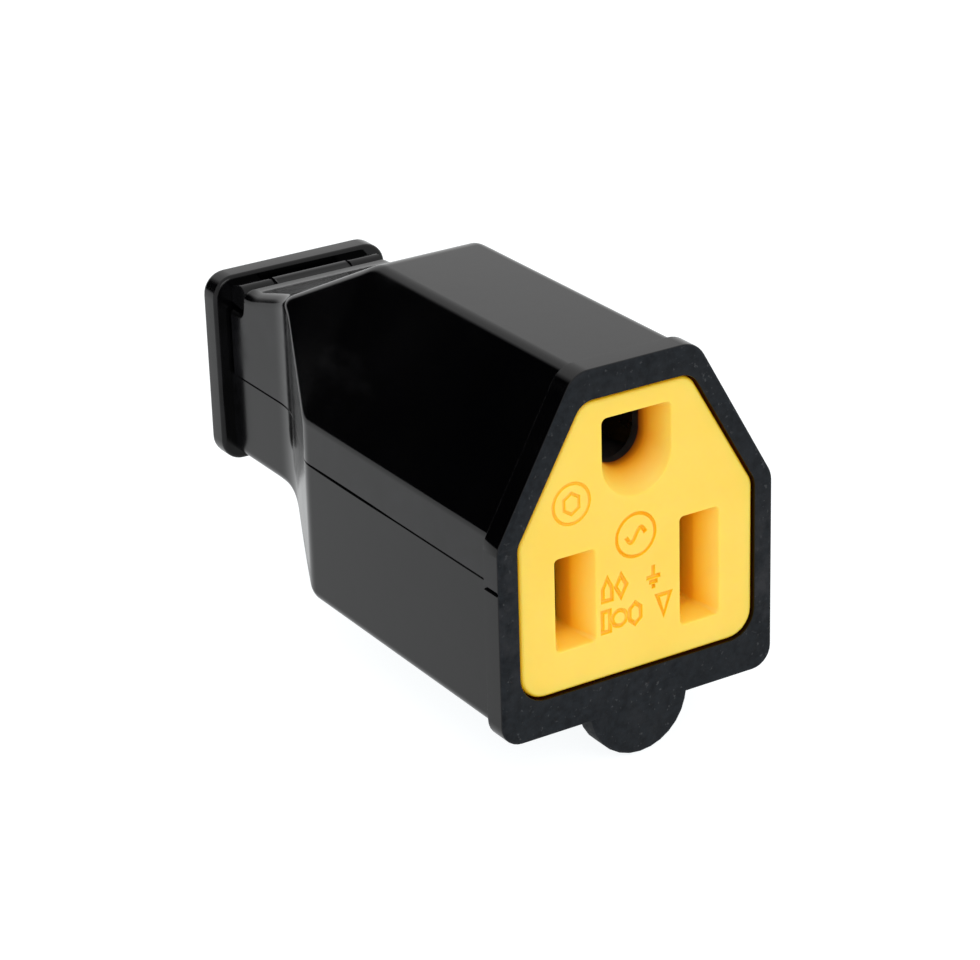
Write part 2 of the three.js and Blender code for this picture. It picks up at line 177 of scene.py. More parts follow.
def upper_side(s):
    """Knee and top rounds of the right side. Where the chamfer has shrunk away they share one centre."""
    cos_a, sin_a = math.cos(s.angle), math.sin(s.angle)
    r = s.r_top
    knee_x, top_z = s.half - r, s.top - r
    knee_z = (s.reach - r - cos_a * knee_x) / sin_a
    top_x = (s.reach - r - sin_a * top_z) / cos_a
    if knee_z > top_z:
        knee_z, top_x = top_z, knee_x
    return arc(knee_x, knee_z, r, 0, s.angle) + arc(top_x, top_z, r, s.angle, math.pi / 2)


def upper_columns(s, seam, edge=BROKEN_EDGE):
    """(x, z) points from the seam on the right, over the top, to the seam on the left."""
    right = [(s.half - edge, seam), (s.half, seam + edge)] + upper_side(s)
    return right + mirror(right)


def lower_columns(s, seam, edge=BROKEN_EDGE, tab=0.0, tab_radius=TAB_RADIUS):
    """tab is 1 where the thumb tab hangs below the section, and 0 elsewhere."""
    r = s.r_bottom
    right = [(s.half - edge, seam), (s.half, seam - edge)]
    right += arc(s.half - r, s.bottom + r, r, 0, -math.pi / 2)
    for i in range(TAB_STEPS + 1):
        turn = math.pi / 2 * (1 - i / TAB_STEPS)
        hang = min(s.bottom, TAB_CENTRE_Z - tab_radius * math.cos(turn))
        right.append((tab_radius * math.sin(turn), s.bottom + (hang - s.bottom) * tab))
    return right + mirror(right[:-1])


def circle_columns(count, radius, upper, seam):
    """Half a circle with as many points as the other outlines, so that rings can be joined."""
    end = math.pi if upper else -math.pi
    drop = math.asin((seam - SEAM_Z) / radius)
    return arc(0, SEAM_Z, radius, drop, end - drop, count - 1)


def bent(y, knots, blends):
    """A line through the knots, rounded by a parabola of the given half length at each inner knot."""
    slopes = [(b[1] - a[1]) / (b[0] - a[0]) for a, b in zip(knots, knots[1:])]
    value = knots[0][1] + slopes[0] * (y - knots[0][0])
    for (knot_y, _), before, after, blend in zip(knots[1:-1], slopes, slopes[1:], blends):
        turn = after - before
        if y >= knot_y + blend:
            value += turn * (y - knot_y)
        elif y > knot_y - blend:
            value += turn * (y - knot_y + blend) ** 2 / (4 * blend)
    return value


# How the section changes along the shoulder and the neck, as (y, value) knots.
BEYOND = 70
RAMP_KNOTS = [(0, 0), (BODY_REAR, 0), (NECK_FRONT, 1), (BEYOND, 1)]
RAMP_BLENDS = (0.8, 2.4)
BOTTOM_KNOTS = [(0, BODY.bottom), (BODY_REAR, BODY.bottom), (NECK_FRONT, NECK.bottom), (BEYOND, NECK.bottom)]
BOTTOM_BLENDS = (0.9, 4.0)
TOP_KNOTS = [(0, BODY.top), (TOP_REAR, BODY.top), (NECK_FRONT, NECK.top),
             (NECK_STEP, NECK_REAR_TOP), (BEYOND, NECK_REAR_TOP)]
TOP_BLENDS = (1.0, 0.9, 1.0)
NECK_FALL = NECK.top - NECK_REAR_TOP
STEP_KNOTS = [(0, 0), (NECK_FRONT, 0), (NECK_STEP, NECK_FALL), (BEYOND, NECK_FALL)]
STEP_BLENDS = (0.9, 1.0)


def body_section(y):
    """The body's section at y. Its lower rounds get smaller halfway along the shoulder."""
    share = bent(y, RAMP_KNOTS, RAMP_BLENDS)
    section = mix(BODY, NECK, share)
    return section._replace(
        top=bent(y, TOP_KNOTS, TOP_BLENDS),
        bottom=bent(y, BOTTOM_KNOTS, BOTTOM_BLENDS),
        reach=section.reach - math.sin(section.angle) * bent(y, STEP_KNOTS, STEP_BLENDS),
        r_bottom=BODY.r_bottom - 0.8 * math.sin(math.pi * min(max(share, 0), 1)),
    )


def round_over(y, radius, towards, steps=4):
    """(y, inset) pairs of a quarter round that turns from the face at y towards +Y or -Y."""
    return [(y + towards * radius * (1 - math.cos(angle)), radius * (1 - math.sin(angle)))
            for angle in spread(0, math.pi / 2, steps)]


def outer_stations():
    """(y, section, tab, tab inset) along the outside, from the front frame to the neck."""
    stations = []
    for y, inset in round_over(COLLAR_FRONT, 0.35, 1):
        stations.append((y, grow(COLLAR, -inset), 1.0, inset))
    for y, inset in reversed(round_over(COLLAR_REAR, 0.03, -1)):
        stations.append((y, grow(COLLAR, -inset), 1.0, inset))
    stations.append((COLLAR_REAR, BODY, 0.0, 0.0))
    bends = set(
        [COLLAR_REAR + 0.4]
        + spread(6, 30, 12)
        + spread(TOP_REAR - 1.0, BODY_REAR + 1.2, 12)
        + spread(BODY_REAR + 2, NECK_FRONT - 6, 4)
        + spread(NECK_FRONT - 5.5, NECK_FRONT + 3.5, 20)
        + spread(NECK_STEP - 3.0, NECK_STEP + 1.0, 8)
    )
    stations += [(y, body_section(y), 0.0, 0.0) for y in sorted(bends)]
    return stations


def inner_stations(step_y, with_rib):
    """(y, section) along the inside, from the front opening to the chamber's rear wall."""
    lip = ((0, 0.1), (0.04, 0.04), (0.12, 0))
    stations = [(COLLAR_FRONT + depth, grow(POCKET, flare)) for depth, flare in lip]
    stations += [(step_y, POCKET), (step_y, BLOCK_ROOM)]
    if with_rib:
        stations += [(RIB_FRONT, BLOCK_ROOM), (RIB_FRONT, RIB), (RIB_REAR, RIB), (RIB_REAR, BLOCK_ROOM)]
    stations += [(WIRING_FRONT, BLOCK_ROOM), (WIRING_FRONT, WIRING_ROOM)]
    return stations + [(BODY_REAR, WIRING_ROOM), (CHAMBER_REAR, NECK_MOUTH)]


def bore_profile(rear):
    """(y, radius) along the cord bore, which has three grooves."""
    profile = [(CHAMBER_REAR, BORE_RADIUS)]
    for y in (46.0, 49.0, 52.0):
        profile += [(y, BORE_RADIUS), (y + 0.2, GROOVE_RADIUS)]
        profile += [(y + 1.4, GROOVE_RADIUS), (y + 1.6, BORE_RADIUS)]
    return profile + [(rear, BORE_RADIUS)]


def seam_half(y):
    """Half the gap between the halves: hidden on the frame's face and wide on its sides.

    Behind the frame it is thin, and gapes a little along the middle of the body."""
    if y < COLLAR_FACE_REAR:
        return 0.003
    if y < COLLAR_REAR + 0.01:
        return 0.13
    gape_y, gape_length = 26, 8
    return SEAM_HALF + 0.06 * max(0.0, 1 - ((y - gape_y) / gape_length) ** 2)


def seam_edge(y):
    """Size of the broken edge on both sides of the seam."""
    return 0.01 if y < COLLAR_FACE_REAR else BROKEN_EDGE


# -------------------- mesh helpers

def finish_mesh(name, bm, body, material, replaced, sharp=35):
    """Turns a bmesh in millimetres into an object that rides on a body, in place of CAD nodes."""
    bmesh.ops.remove_doubles(bm, verts=bm.verts, dist=1e-4)
    bmesh.ops.dissolve_degenerate(bm, edges=bm.edges, dist=1e-5)
    bmesh.ops.recalc_face_normals(bm, faces=bm.faces)
    bmesh.ops.scale(bm, vec=(MM, MM, MM), verts=bm.verts)
    mesh = bpy.data.meshes.new(name)
    bm.to_mesh(mesh)
    bm.free()
    piece = bpy.data.objects.new(name, mesh)
    bpy.context.scene.collection.objects.link(piece)
    mesh.materials.append(material)
    smooth(piece, sharp)
    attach(piece, body)
    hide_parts(*replaced)
    return piece


def smooth(piece, sharp):
    """Smooth shading that breaks at edges over the given degrees."""
    for face in piece.data.polygons:
        face.use_smooth = True
    piece.data.set_sharp_from_angle(angle=math.radians(sharp))
    normals = piece.modifiers.new("weighted normals", "WEIGHTED_NORMAL")
    normals.keep_sharp = True


def join_rings(bm, rings, closed_columns=False, closed_rings=True):
    """Quads between neighbouring rings of equally many points. Returns the vertices, ring by ring."""
    grid = [[bm.verts.new(point) for point in ring] for ring in rings]
    ring_pairs = list(zip(grid, grid[1:])) + ([(grid[-1], grid[0])] if closed_rings else [])
    for a, b in ring_pairs:
        count = len(a)
        for i in range(count if closed_columns else count - 1):
            k = (i + 1) % count
            bm.faces.new((a[i], a[k], b[k], b[i]))
    return grid


def ring_at(y, columns):
    return [(x, y, z) for x, z in columns]


def half_shell(bm, rings):
    """A closed half of the housing: its skin all round, and a flat face on each side of the seam."""
    grid = join_rings(bm, rings)
    bm.faces.new([ring[0] for ring in grid])
    bm.faces.new([ring[-1] for ring in grid])


def on_axis(axis, a, b, c):
    """The point whose place along the axis is c, and whose other two coordinates, in order, are a and b."""
    point = [a, b]
    point.insert("xyz".index(axis), c)
    return point


def prism(bm, outline, axis, start, end, bevel=0.0):
    """Extrudes an outline along an axis: on x it lies in (Y, Z), on y in (X, Z), on z in (X, Y)."""
    part = bmesh.new()
    grid = [[part.verts.new(on_axis(axis, a, b, c)) for a, b in outline] for c in (start, end)]
    count = len(outline)
    for i in range(count):
        k = (i + 1) % count
        part.faces.new((grid[0][i], grid[0][k], grid[1][k], grid[1][i]))
    caps = [part.faces.new(grid[0]), part.faces.new(grid[1])]
    if bevel:
        rims = {edge for cap in caps for edge in cap.edges}
        bmesh.ops.bevel(part, geom=list(rims), offset=bevel, segments=3, affect="EDGES",
                        profile=0.5, clamp_overlap=True)
    merge(bm, part)


def merge(bm, part):
    """Adds the bmesh part to bm, and frees it."""
    mesh = bpy.data.meshes.new("part")
    part.to_mesh(mesh)
    part.free()
    bm.from_mesh(mesh)
    bpy.data.meshes.remove(mesh)


def rounded_rect(x0, x1, z0, z1, radius, steps=ARC_STEPS):
    return (
        arc(x1 - radius, z0 + radius, radius, -math.pi / 2, 0, steps)
        + arc(x1 - radius, z1 - radius, radius, 0, math.pi / 2, steps)
        + arc(x0 + radius, z1 - radius, radius, math.pi / 2, math.pi, steps)
        + arc(x0 + radius, z0 + radius, radius, math.pi, 1.5 * math.pi, steps)
    )


def round_hole(count, radius, centre_z=0.0):
    """A circle of count points, turned so that it can be joined to a rounded_rect."""
    start = -math.pi / 2 + math.pi / count
    turns = [start + 2 * math.pi * i / count for i in range(count)]
    return [(radius * math.cos(t), centre_z + radius * math.sin(t)) for t in turns]


# -------------------- materials

def new_material(name, color, roughness, metallic=0.0, specular=0.5):
    material = bpy.data.materials.new(name)
    material.use_nodes = True
    shader = material.node_tree.nodes["Principled BSDF"]
    shader.inputs["Base Color"].default_value = (*color, 1)
    shader.inputs["Roughness"].default_value = roughness
    shader.inputs["Metallic"].default_value = metallic
    shader.inputs["Specular IOR Level"].default_value = specular
    return material, shader


def noise_node(material, scale, detail=3.0, stretch=(1, 1, 1), roughness=0.5):
    """Noise in object space, scale in features per metre."""
    tree = material.node_tree
    coords = tree.nodes.new("ShaderNodeTexCoord")
    mapping = tree.nodes.new("ShaderNodeMapping")
    mapping.inputs["Scale"].default_value = stretch
    texture = tree.nodes.new("ShaderNodeTexNoise")
    texture.inputs["Scale"].default_value = scale
    texture.inputs["Detail"].default_value = detail
    texture.inputs["Roughness"].default_value = roughness
    tree.links.new(coords.outputs["Object"], mapping.inputs["Vector"])
    tree.links.new(mapping.outputs["Vector"], texture.inputs["Vector"])
    return texture


def ramp_node(material, source, low, high, low_value, high_value):
    """Maps a factor between low and high to a grey or colour between two values."""
    ramp = material.node_tree.nodes.new("ShaderNodeValToRGB")
    ends = ramp.color_ramp.elements
    for end, position, value in ((ends[0], low, low_value), (ends[1], high, high_value)):
        end.position = position
        end.color = (*value, 1) if isinstance(value, tuple) else (value, value, value, 1)
    material.node_tree.links.new(source, ramp.inputs["Fac"])
    return ramp.outputs["Color"]


def combine(material, operation, a, b):
    """MULTIPLY, ADD or SUBTRACT of two nodes' outputs."""
    node = material.node_tree.nodes.new("ShaderNodeMath")
    node.operation = operation
    material.node_tree.links.new(a, node.inputs[0])
    material.node_tree.links.new(b, node.inputs[1])
    return node.outputs["Value"]


def blend_color(material, factor, a, b):
    """Colour a where factor is 0, b where it is 1. Each is a colour or a node's output."""
    node = material.node_tree.nodes.new("ShaderNodeMix")
    node.data_type = "RGBA"
    links = material.node_tree.links
    links.new(factor, node.inputs["Factor"])
    for socket, value in ((node.inputs[6], a), (node.inputs[7], b)):
        if isinstance(value, tuple):
            socket.default_value = (*value, 1)
        else:
            links.new(value, socket)
    return node.outputs[2]


def openness(material, distance, samples=6):
    """1 in the open, falling towards 0 down a slot or a groove."""
    node = material.node_tree.nodes.new("ShaderNodeAmbientOcclusion")
    node.samples = samples
    node.inputs["Distance"].default_value = distance
    return node.outputs["AO"]


def worn_edges(material, low, high, scale):
    """A broken-up mask of the outer edges."""
    geometry = material.node_tree.nodes.new("ShaderNodeNewGeometry")
    edges = ramp_node(material, geometry.outputs["Pointiness"], low, high, 0.0, 1.0)
    patches = noise_node(material, scale, 5, roughness=0.7)
    patchy = ramp_node(material, patches.outputs["Fac"], 0.42, 0.62, 0.0, 1.0)
    return combine(material, "MULTIPLY", edges, patchy)


def add_bump(material, shader, height, strength, distance):
    """Bump from a height, with distance in metres."""
    bump = material.node_tree.nodes.new("ShaderNodeBump")
    bump.inputs["Strength"].default_value = strength
    bump.inputs["Distance"].default_value = distance
    links = material.node_tree.links
    links.new(height, bump.inputs["Height"])
    links.new(bump.outputs["Normal"], shader.inputs["Normal"])


def gloss_vinyl():
    """Polished black vinyl: clouds in its gloss, smudges, fine scratches and rubbed edges."""
    material, shader = new_material("gloss_vinyl", (0.0005, 0.0005, 0.0007), 0.12, specular=0.29)
    links = material.node_tree.links
    cloud = noise_node(material, 70, 3)
    gloss = ramp_node(material, cloud.outputs["Fac"], 0.3, 0.7, 0.09, 0.19)
    scratches = noise_node(material, 900, 3, (1, 0.05, 1), 0.7)
    scratch_mask = ramp_node(material, scratches.outputs["Fac"], 0.7, 0.8, 0.0, 0.1)
    smudges = noise_node(material, 95, 5, (1, 0.45, 1), 0.62)
    smudge_mask = ramp_node(material, smudges.outputs["Fac"], 0.56, 0.74, 0.0, 1.0)
    marked = combine(material, "ADD", gloss, scratch_mask)
    dulled = ramp_node(material, smudge_mask, 0.0, 1.0, 0.0, 0.16)
    links.new(combine(material, "ADD", marked, dulled), shader.inputs["Roughness"])
    worn = worn_edges(material, 0.53, 0.62, 260)
    film = blend_color(material, smudge_mask, (0.0004, 0.0004, 0.0006), (0.0022, 0.0022, 0.0026))
    links.new(blend_color(material, worn, film, (0.004, 0.004, 0.005)), shader.inputs["Base Color"])
    peel = noise_node(material, 420, 2)
    add_bump(material, shader, peel.outputs["Fac"], 0.05, 0.0001)
    return material


def matte_vinyl():
    """The front frame's fine-grained face, with pale rub marks along its edges."""
    material, shader = new_material("matte_vinyl", (0.004, 0.005, 0.008), 0.6, specular=0.14)
    links = material.node_tree.links
    grain = noise_node(material, 1500, 4, roughness=0.65)
    tone = ramp_node(material, grain.outputs["Fac"], 0.35, 0.7,
                     (0.0028, 0.0042, 0.0062), (0.0115, 0.0145, 0.018))
    blotches = noise_node(material, 420, 5, roughness=0.75)
    dusty = ramp_node(material, blotches.outputs["Fac"], 0.5, 0.8, 0.0, 0.14)
    dusted = blend_color(material, dusty, tone, (0.02, 0.022, 0.026))
    worn = worn_edges(material, 0.52, 0.58, 330)
    dots = noise_node(material, 2300, 2)
    specks = ramp_node(material, dots.outputs["Fac"], 0.66, 0.74, 0.0, 0.6)
    specked = blend_color(material, specks, dusted, (0.05, 0.052, 0.055))
    links.new(blend_color(material, worn, specked, (0.02, 0.021, 0.024)), shader.inputs["Base Color"])
    links.new(ramp_node(material, grain.outputs["Fac"], 0.3, 0.7, 0.48, 0.72), shader.inputs["Roughness"])
    add_bump(material, shader, grain.outputs["Fac"], 0.5, 0.00006)
    return material


def yellow_nylon():
    """Satin moulded nylon that glows a little. Painted shade turns it orange in the slots and the marks, and
    amber to dark brown down the ground socket.
    """
    material, shader = new_material("yellow_nylon", (0.88, 0.6, 0.09), 0.42)
    shader.inputs["Subsurface Weight"].default_value = 0.6
    shader.inputs["Subsurface Radius"].default_value = (1.0, 0.6, 0.12)
    shader.inputs["Subsurface Scale"].default_value = 0.002
    links = material.node_tree.links
    cloud = noise_node(material, 120, 4)
    skin = ramp_node(material, cloud.outputs["Fac"], 0.35, 0.65, (0.84, 0.575, 0.068), (0.87, 0.605, 0.085))
    # Painted shade: the yellow turns orange down the slots, where ambient occlusion finds them hemmed in.
    depth = ramp_node(material, openness(material, 0.004), 0.3, 0.93, 1.0, 0.0)
    # Painted shade down the ground socket: amber first, then dark brown deepest in.
    socket = material.node_tree.nodes.new("ShaderNodeAttribute")
    socket.attribute_name = "socket_painted_shade"
    socket_amber_shade = ramp_node(material, socket.outputs["Fac"], 0.12, 0.8, 0.0, 1.0)
    skin = blend_color(material, socket_amber_shade, skin, (0.93, 0.36, 0.006))
    socket_umber_shade = ramp_node(material, socket.outputs["Fac"], 0.72, 1.0, 0.0, 1.0)
    skin = blend_color(material, socket_umber_shade, skin, (0.3, 0.07, 0.003))
    # Mixes in the painted orange slot shade, except where the socket's dark brown painted shade already is.
    deep = blend_color(material, combine(material, "SUBTRACT", depth, socket_umber_shade), skin, (1.0, 0.48, 0.008))
    # Painted shade: the engraved marks deepen to orange inside.
    painted_mark_shade = ramp_node(material, openness(material, 0.0005), 0.5, 0.96, 1.0, 0.0)
    links.new(blend_color(material, painted_mark_shade, deep, (0.93, 0.52, 0.006)), shader.inputs["Base Color"])
    grain = noise_node(material, 2600, 3)
    links.new(ramp_node(material, grain.outputs["Fac"], 0.3, 0.7, 0.36, 0.5), shader.inputs["Roughness"])
    add_bump(material, shader, grain.outputs["Fac"], 0.15, 0.00003)
    return material


def black_nylon():
    """Moulded nylon of the inner parts: grained, and paler where its edges are rubbed."""
    material, shader = new_material("black_nylon", (0.018, 0.018, 0.019), 0.45)
    links = material.node_tree.links
    grain = noise_node(material, 1800, 4)
    tone = ramp_node(material, grain.outputs["Fac"], 0.3, 0.7, (0.012, 0.012, 0.013), (0.024, 0.024, 0.026))
    worn = worn_edges(material, 0.53, 0.62, 500)
    links.new(blend_color(material, worn, tone, (0.06, 0.06, 0.062)), shader.inputs["Base Color"])
    links.new(ramp_node(material, grain.outputs["Fac"], 0.3, 0.7, 0.36, 0.56), shader.inputs["Roughness"])
    add_bump(material, shader, grain.outputs["Fac"], 0.25, 0.00004)
    return material


def metal(name, color, roughness, stretch=(1, 1, 1), scale=900, recess=0.0015, tarnish_and_shade=0.22):
    """Metal with fine grain, darker down its slots and threads, partly tarnish and partly painted shade."""
    material, shader = new_material(name, color, roughness, metallic=1.0)
    links = material.node_tree.links
    dull = tuple(c * 0.82 for c in color)
    dark = tuple(c * tarnish_and_shade for c in color)
    grain = noise_node(material, scale, 4, stretch)
    tone = ramp_node(material, grain.outputs["Fac"], 0.3, 0.7, dull, color)
    # Darkening in recesses from ambient occlusion: tarnish, and painted shade.
    tarnish_and_shade_mask = ramp_node(material, openness(material, recess), 0.2, 0.75, 0.95, 0.0)
    links.new(blend_color(material, tarnish_and_shade_mask, tone, dark), shader.inputs["Base Color"])
    brushed = ramp_node(material, grain.outputs["Fac"], 0.25, 0.75, roughness * 0.7, roughness * 1.3)
    links.new(brushed, shader.inputs["Roughness"])
    add_bump(material, shader, grain.outputs["Fac"], 0.1, 0.00002)
    return material


GLOSS = gloss_vinyl()
MATTE = matte_vinyl()
YELLOW = yellow_nylon()
NYLON = black_nylon()
# The spring brass darkens strongly and over a wide reach: painted shade that blacks out the contacts deep in
# their pockets.
SPRING_BRASS = metal("spring_brass", (0.72, 0.47, 0.18), 0.3, (1, 0.15, 1), 1400, 0.006, 0.12)
TURNED_BRASS = metal("turned_brass", (0.8, 0.52, 0.2), 0.3)
NICKEL = metal("nickel", (0.72, 0.71, 0.68), 0.24)
GREEN_STEEL = metal("green_steel", (0.04, 0.36, 0.12), 0.35)
ZINC = metal("zinc_steel", (0.6, 0.61, 0.63), 0.32)

# -------------------- housing

# Where the pocket for the yellow face steps in to the room for its block.
LOWER_STEP_Y = 4.3
UPPER_STEP_Y = 5.4


def lower_rings():
    """The lower half's rings: back along its outside, then forward through its bore and its inside."""
    rings = []
    for y, section, tab, inset in outer_stations():
        columns = lower_columns(section, SEAM_Z - seam_half(y), seam_edge(y), tab, TAB_RADIUS - inset)
        rings.append(ring_at(y, columns))
    end = FLANGE_FRONT + 0.05
    seam = SEAM_Z - SEAM_HALF
    rings.append(ring_at(end, lower_columns(body_section(end), seam)))
    count = len(rings[0])
    for y, radius in reversed(bore_profile(end)):
        rings.append(ring_at(y, circle_columns(count, radius, False, seam)))
    for y, section in reversed(inner_stations(LOWER_STEP_Y, True)):
        rings.append(ring_at(y, lower_columns(section, SEAM_Z - seam_half(y), edge=0.0)))
    return rings


def hinge_top(y):
    """Top of the upper shell's rear end, which stays clear of the barrel."""
    if y >= HINGE_Y:
        return HINGE_SHELF_Z
    return HINGE_Z - math.sqrt(max(HINGE_ROOM ** 2 - (y - HINGE_Y) ** 2, 0))


# A reach so large that a section has no chamfer.
NO_CHAMFER = 100.0


def upper_rings():
    """The upper half's rings, in the same order. Its rear end is hollowed under the hinge barrel."""
    rings = []
    for y, section, _, _ in outer_stations():
        rings.append(ring_at(y, upper_columns(section, SEAM_Z + seam_half(y), seam_edge(y))))
    seam = SEAM_Z + SEAM_HALF
    rear_edge = 0.2
    cut_front = HINGE_Y - HINGE_ROOM
    neck = body_section(cut_front)
    rings.append(ring_at(cut_front - 0.25, upper_columns(neck, seam)))
    rounded = grow(neck, -0.08)._replace(half=neck.half)
    rings.append(ring_at(cut_front - 0.05, upper_columns(rounded, seam)))
    for y in spread(cut_front, HINGE_Y, 8) + [UPPER_REAR - rear_edge]:
        section = neck._replace(top=hinge_top(y), reach=NO_CHAMFER, r_top=0.5)
        rings.append(ring_at(y, upper_columns(section, seam)))
    rear = neck._replace(top=HINGE_SHELF_Z - rear_edge, reach=NO_CHAMFER, r_top=0.4, half=neck.half - 0.15)
    rings.append(ring_at(UPPER_REAR, upper_columns(rear, seam + rear_edge)))
    count = len(rings[0])
    for y, radius in reversed(bore_profile(UPPER_REAR)):
        rings.append(ring_at(y, circle_columns(count, radius, True, seam)))
    for y, section in reversed(inner_stations(UPPER_STEP_Y, False)):
        rings.append(ring_at(y, upper_columns(section, SEAM_Z + seam_half(y), edge=0.0)))
    return rings


def flange_knuckle(bm, x0, x1):
    """Barrel on a web that runs back into the flange."""
    outline = arc(HINGE_Y, HINGE_Z, BARREL_RADIUS, -math.pi / 2, -1.5 * math.pi, 20)
    web_rear = FLANGE_FRONT + 0.1
    outline += [(web_rear, HINGE_Z + 0.6), (web_rear, HINGE_Z - 1.1)]
    prism(bm, outline, "x", x0, x1, bevel=0.2)


def cover_knuckle(bm, x0, x1):
    """Barrel on a web that runs forward and down into the upper half."""
    outline = arc(HINGE_Y, HINGE_Z, BARREL_RADIUS, 0.62 * math.pi, -0.25 * math.pi, 20)
    web_front, web_bottom = HINGE_Y - 3.0, HINGE_SHELF_Z - 0.4
    outline += [(HINGE_Y + 0.9, web_bottom), (web_front, web_bottom)]
    outline += [(web_front, HINGE_Z + 0.6), (HINGE_Y - 1.5, HINGE_Z + 0.62)]
    prism(bm, outline, "x", x0, x1, bevel=0.2)


def flange(bm):
    """Square rear plate with rounded edges and the round cord hole."""
    half, bottom, top, corner = 9.45, -6.85, 12.1, 2.2
    steps = 8
    count = 4 * (steps + 1)
    rings = []
    front_round = round_over(FLANGE_FRONT, 0.4, 1, 5)
    rear_round = round_over(FLANGE_REAR, 0.75, -1, 5)
    for y, inset in front_round + rear_round[::-1]:
        outline = rounded_rect(-half + inset, half - inset, bottom + inset, top - inset,
                               max(corner - inset, 0.3), steps)
        rings.append(ring_at(y, outline))
    for y, inset in round_over(FLANGE_REAR, 0.4, -1) + [(FLANGE_FRONT, 0)]:
        rings.append(ring_at(y, round_hole(count, BORE_RADIUS + inset, SEAM_Z)))
    join_rings(bm, rings, closed_columns=True)


def matte_front(piece):
    """The front frame's face and the thumb tab are matte; the rest of the housing is polished."""
    piece.data.materials.append(MATTE)
    face_rear = (COLLAR_FRONT + 0.2) * MM
    tab_top = (COLLAR.bottom - 0.05) * MM
    for face in piece.data.polygons:
        on_face = face.center.y < face_rear and face.normal.y < -0.5
        if on_face or face.center.z < tab_top:
            face.material_index = 1


def build_lower_housing():
    """Lower half with the flange, two hinge knuckles and the seat under the cord clamp."""
    bm = bmesh.new()
    half_shell(bm, lower_rings())
    flange(bm)
    flange_knuckle(bm, -7.6, -4.3)
    flange_knuckle(bm, 4.3, 7.6)
    prism(bm, rounded_rect(-4, 4, CLAMP_Y - 1.3, CLAMP_Y + 1.3, 0.3), "z", -8.3, -6.2, bevel=0.2)
    piece = finish_mesh("lower_housing", bm, "housing", GLOSS, ["lower_shell"])
    matte_front(piece)


def build_upper_housing():
    """Upper half with its knuckle. A lip on each side hangs past the seam, from a root in the wall."""
    bm = bmesh.new()
    half_shell(bm, upper_rings())
    cover_knuckle(bm, -4.0, 4.0)
    lip_inner, lip_outer, root_outer = 10.7, 11.27, 12
    lip_front, lip_rear, lip_top = 22.5, 30.5, 4.2
    for side in (-1, 1):
        x0, x1 = sorted((side * lip_inner, side * lip_outer))
        prism(bm, rounded_rect(x0, x1, lip_front, lip_rear, 0.15), "z", 0.6, lip_top, bevel=0.12)
        x0, x1 = sorted((side * lip_inner, side * root_outer))
        prism(bm, rounded_rect(x0, x1, lip_front, lip_rear, 0.15), "z", SEAM_Z + 0.5, lip_top)
    piece = finish_mesh("upper_housing", bm, "cover", GLOSS, ["upper_shell"])
    matte_front(piece)


# -------------------- contact carrier

def as_object(bm, name, collection):
    """A plain object made of the closed bmesh, for a boolean."""
    mesh = bpy.data.meshes.new(name)
    bmesh.ops.remove_doubles(bm, verts=bm.verts, dist=1e-4)
    bmesh.ops.recalc_face_normals(bm, faces=bm.faces)
    bm.to_mesh(mesh)
    bm.free()
    holder = bpy.data.objects.new(name, mesh)
    collection.objects.link(holder)
    return holder


def carved(bm, cutters):
    """The solid bm with every cutter taken out of it."""
    scene_root = bpy.context.scene.collection
    tools = bpy.data.collections.new("cutters")
    scene_root.children.link(tools)
    block = as_object(bm, "block", scene_root)
    for cutter in cutters:
        as_object(cutter, "cutter", tools)
    cut = block.modifiers.new("cut", "BOOLEAN")
    cut.operation = "DIFFERENCE"
    cut.solver = "EXACT"
    cut.operand_type = "COLLECTION"
    cut.collection = tools
    depsgraph = bpy.context.evaluated_depsgraph_get()
    result = bmesh.new()
    result.from_mesh(block.evaluated_get(depsgraph).to_mesh())
    for holder in [block, *tools.objects]:
        mesh = holder.data
        bpy.data.objects.remove(holder)
        bpy.data.meshes.remove(mesh)
    bpy.data.collections.remove(tools)
    return result


def solid_prism(outline, axis, start, end):
    bm = bmesh.new()
    prism(bm, outline, axis, start, end)
    return bm


def solid_loft(stations):
    """A closed solid through (y, outline) stations of equally many points."""
    bm = bmesh.new()
    grid = join_rings(bm, [ring_at(y, outline) for y, outline in stations], True, False)
    bm.faces.new(grid[0])
    bm.faces.new(grid[-1])
    return bm


def house_outline(s):
    right = arc(s.half - s.r_bottom, s.bottom + s.r_bottom, s.r_bottom, -math.pi / 2, 0) + upper_side(s)
    return right + mirror(right)


def socket_outline(radius, top, centre_z):
    """Half round below, flat on top with small rounds."""
    corner = 0.55
    points = arc(0, centre_z, radius, math.pi, 2 * math.pi, 24)
    points += arc(radius - corner, top - corner, corner, 0, math.pi / 2, 5)
    points += arc(corner - radius, top - corner, corner, math.pi / 2, math.pi, 5)
    return points


FLARE_DEPTH = 2.4
FLARE_STEPS = 12
SOCKET_SHADE_Y = 3.6


def flare_stations():
    """(y, share) down an opening: share falls from 1 at the mouth to 0 where the flare ends."""
    lip_y, lip_share = 0.14, 0.99
    stations = [(-0.5, 1.12), (0.0, 1.12), (0.05, 1.05), (lip_y, lip_share)]
    for i in range(1, FLARE_STEPS + 1):
        depth = i / FLARE_STEPS
        stations.append((lip_y + (FLARE_DEPTH - lip_y) * depth, lip_share * (1 - depth) ** 1.5))
    return stations + [(3.0, 0.0), (SOCKET_SHADE_Y, 0.0), (POCKET_FRONT + 0.2, 0.0)]


